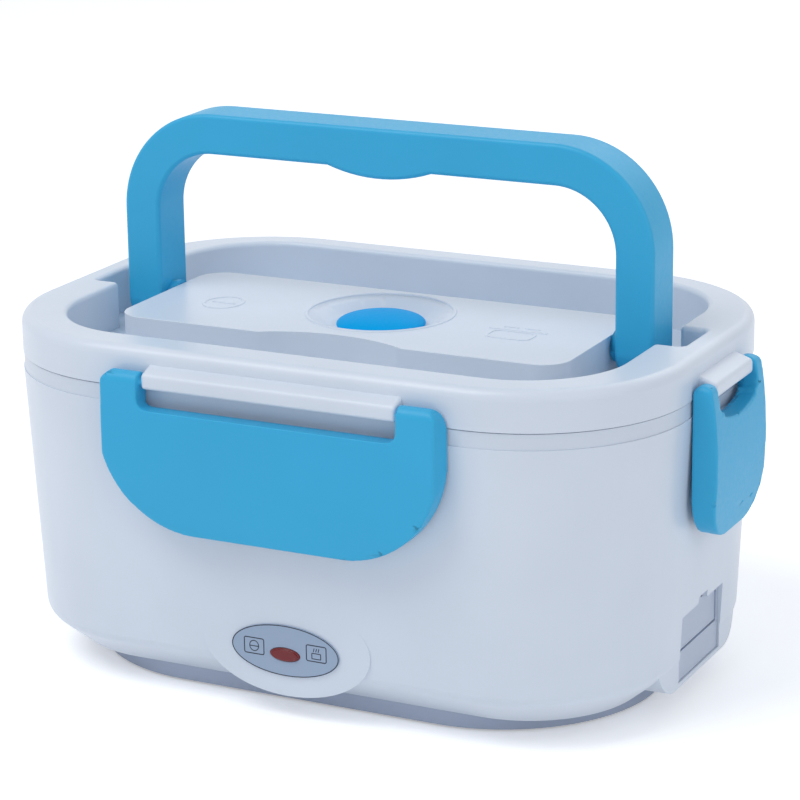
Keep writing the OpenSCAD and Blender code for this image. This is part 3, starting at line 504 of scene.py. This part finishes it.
# The handle's outer edges are broad and soft; those round its stubs stay as they are
def dressHandle():
    piece = merged("handle")
    pivotY, pivotZ = pivotOf["handle"][1:]
    stubEnd = cadBox("handle")[1][0] - handle["stubIn"]
    onStub = lambda a: math.hypot(a.y - pivotY, a.z - pivotZ) < handle["stub"] and abs(a.x) < stubEnd
    soften(piece, handle["edge"], lambda a, b: not onStub(a) and not onStub(b), clamp=False)
    settle(piece, "handle")


dressHandle()

latch = {
    "grid": 0.5,  # the remesh's cell
    "passes": 9,
    "pull": 0.5,  # how far one smoothing pass moves a point, as a share
    "kept": 0.35,  # share of the faces left after thinning
    "smooth": 180,
    "earFrom": 98,
    "earTop": 102.6,
    "slotHalf": 15.8,
    "stub": 1.4,
    "stubDrop": 1.4,
}


# Gives a moulded piece broad soft edges everywhere: a fine remesh, smoothed and thinned
def moulded(piece):
    hold(piece)
    piece.data.remesh_voxel_size = latch["grid"] * mm
    bpy.ops.object.voxel_remesh()
    soft = piece.modifiers.new("soft", "SMOOTH")
    soft.factor = latch["pull"]
    soft.iterations = latch["passes"]
    bpy.ops.object.modifier_apply(modifier="soft")
    thin = piece.modifiers.new("thin", "DECIMATE")
    thin.ratio = latch["kept"]
    bpy.ops.object.modifier_apply(modifier="thin")
    print("moulded", piece.name, len(piece.data.polygons), "faces")


# The end latches' ears are lower than the solids', so their tops are drawn down
def dressLatch(node, atEnd):
    piece = merged(node)
    if atEnd:
        earFrom = latch["earFrom"]
        pinX, pinZ = abs(pivotOf[node][0]), pivotOf[node][2]
        squash = (latch["earTop"] - earFrom) / (cadBox(node)[1][2] - earFrom)
        onStub = lambda a: math.hypot(abs(a.x) - pinX, a.z - pinZ) < latch["stub"]
        onEar = lambda a: a.z > earFrom and abs(a.y) > latch["slotHalf"] and not onStub(a)
        nudge(piece, onStub, lambda a: a - Vector((0, 0, latch["stubDrop"])))
        nudge(piece, onEar, lambda a: Vector((a.x, a.y, earFrom + (a.z - earFrom) * squash)))
    moulded(piece)
    settle(piece, node, latch["smooth"])


for side in ("front", "back", "right", "left"):
    dressLatch("latch_" + side, side in ("right", "left"))


# A flat shape on the ground with its middle cut out: a frame with round corners or an oval ring
def outline(width, height, line, place, corner=None, deep=0.04, turn=0):
    bpy.ops.object.select_all(action="DESELECT")
    if corner is None:
        bpy.ops.mesh.primitive_circle_add(vertices=64, radius=0.5, fill_type="NGON")
    else:
        bpy.ops.mesh.primitive_plane_add(size=1)
    shape = bpy.context.object
    shape.scale = (width * mm, height * mm, 1)
    bpy.ops.object.transform_apply(scale=True)
    bpy.ops.object.mode_set(mode="EDIT")
    bpy.ops.mesh.select_all(action="SELECT")
    if corner:
        bpy.ops.mesh.bevel(offset=corner * mm, segments=5, affect="VERTICES")
    if line < min(width, height) / 2:
        bpy.ops.mesh.select_all(action="SELECT")
        bpy.ops.mesh.inset(thickness=line * mm)
        bpy.ops.mesh.delete(type="FACE")
    bpy.ops.mesh.select_all(action="SELECT")
    bpy.ops.mesh.extrude_region_move(TRANSFORM_OT_translate={"value": (0, 0, deep * mm)})
    bpy.ops.mesh.select_all(action="SELECT")
    bpy.ops.mesh.normals_make_consistent(inside=False)
    bpy.ops.object.mode_set(mode="OBJECT")
    shape.rotation_euler = (0, 0, math.radians(turn))
    bpy.ops.object.transform_apply(rotation=True)
    shape.location = (place[0] * mm, place[1] * mm, 0)
    bpy.ops.object.transform_apply(location=True)
    return shape


# Several shapes as one piece
def joined(shapes, name):
    bpy.ops.object.select_all(action="DESELECT")
    for shape in shapes:
        shape.select_set(True)
    bpy.context.view_layer.objects.active = shapes[0]
    bpy.ops.object.join()
    shapes[0].name = name
    return shapes[0]


# Moves a shape made on the ground to its place, stood up first where asked
def put(piece, place, upright=False):
    hold(piece)
    if upright:
        piece.rotation_euler = (math.radians(90), 0, 0)
        bpy.ops.object.transform_apply(rotation=True)
    piece.location = [value * mm for value in place]
    bpy.ops.object.transform_apply(location=True)


# Ring and pictograms on the label, with places from its middle
label = {
    "ring": 0.3,
    "margin": 0.1,
    "lift": 0.005,
    "frame": (6.9, 5.3),
    "frameCorner": 0.7,
    "frameLine": 0.32,
    "line": 0.28,
    "leftSign": (-10.4, 0.1),
    "rightSign": (10.5, 0.7),
    "bowl": (3.3, 3.5),
    "bowlLid": (3.1, 0.28),
    "bowlDrop": 0.1,
    "pot": (3.2, 2.0),
    "potCorner": 0.3,
    "potDrop": 0.8,
    "steam": (0.26, 1.2),
    "steamApart": 0.8,
    "steamRise": 1.1,
    "steamLean": -14,
    "nip": 0.05,
}
whole = 3  # an outline's line this wide leaves no hole in a small sign


# A covered bowl in the left frame and a steaming pot in the right one
def printLabel():
    low, high = cadBox("label_plate")
    width, height = high[0] - low[0], high[2] - low[2]
    margin = label["margin"]
    shapes = [outline(width - margin, height - margin, label["ring"], (0, 0))]
    for sign in (label["leftSign"], label["rightSign"]):
        shapes.append(outline(*label["frame"], label["frameLine"], sign, label["frameCorner"]))
    x, y = label["leftSign"]
    shapes.append(outline(*label["bowl"], label["line"], (x, y)))
    shapes.append(outline(*label["bowlLid"], whole, (x, y - label["bowlDrop"]), label["nip"]))
    x, y = label["rightSign"]
    shapes.append(outline(*label["pot"], label["line"], (x, y - label["potDrop"]), label["potCorner"]))
    for i in (-1, 0, 1):
        place = (x + label["steamApart"] * i, y + label["steamRise"])
        shapes.append(outline(*label["steam"], whole, place, label["nip"], turn=label["steamLean"]))
    piece = joined(shapes, "label_print")
    put(piece, ((low[0] + high[0]) / 2, low[1] + label["lift"], (low[2] + high[2]) / 2), True)
    piece.data.materials.clear()
    piece.data.materials.append(printInk)
    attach(piece, "base")
    print("label printed")


printLabel()

# Raised marks on the platform, with places from the lid's middle
marks = {
    "high": 0.25,
    "sunk": 0.02,
    "line": 0.9,
    "corner": 0.3,
    "edge": 0.6,  # share of the height that the edge's radius takes
    "smooth": 30,
    "left": (-50.5, -12.5),
    "ring": (13, 15),
    "bar": (8, 1),
    "right": (47.5, -9.5),
    "bowl": (15, 9),
    "bowlCorner": 3,
    "bowlDrop": 2.5,
    "brim": (19, 1),
    "brimRise": 3,
    "stroke": (5, 0.9),
    "strokeRise": 6,
    "strokeApart": 3.5,
}

dishLip = {"radius": 22.85, "thick": 0.6, "flatter": 0.75, "sunk": 0.03, "smooth": 60}


# A barred ring on the left, a bowl under two strokes on the right, and the lip round the vent's dish
def markLid():
    topZ = cadBox("lid_cover")[1][2] - lidCover["platformDrop"]
    vent = cadBox("vent_stopper")
    middle = [(vent[0][i] + vent[1][i]) / 2 for i in (0, 1)]
    high, corner, line = marks["high"], marks["corner"], marks["line"]
    x, y = marks["left"]
    shapes = [outline(*marks["ring"], line, (x, y), deep=high),
              outline(*marks["bar"], whole, (x, y), corner, high)]
    x, y = marks["right"]
    shapes += [outline(*marks["bowl"], line, (x, y - marks["bowlDrop"]), marks["bowlCorner"], high),
               outline(*marks["brim"], whole, (x, y + marks["brimRise"]), corner, high)]
    shapes += [outline(*marks["stroke"], whole, (x + i, y + marks["strokeRise"]), corner, high)
               for i in (-marks["strokeApart"], marks["strokeApart"])]
    piece = joined(shapes, "platform_marks")
    put(piece, (0, 0, topZ - marks["sunk"]))
    soften(piece, high * marks["edge"], lambda a, b: min(a.z, b.z) > topZ + near, 2)
    settle(piece, "lid_cover", marks["smooth"], False)
    bpy.ops.object.select_all(action="DESELECT")
    bpy.ops.mesh.primitive_torus_add(major_radius=dishLip["radius"] * mm, minor_radius=dishLip["thick"] * mm,
                                     major_segments=96, minor_segments=12)
    lip = bpy.context.object
    lip.name = "dish_lip"
    lip.scale = (1, 1, dishLip["flatter"])
    bpy.ops.object.transform_apply(scale=True)
    put(lip, (middle[0], middle[1], topZ - dishLip["sunk"]))
    settle(lip, "lid_cover", dishLip["smooth"], False)


markLid()
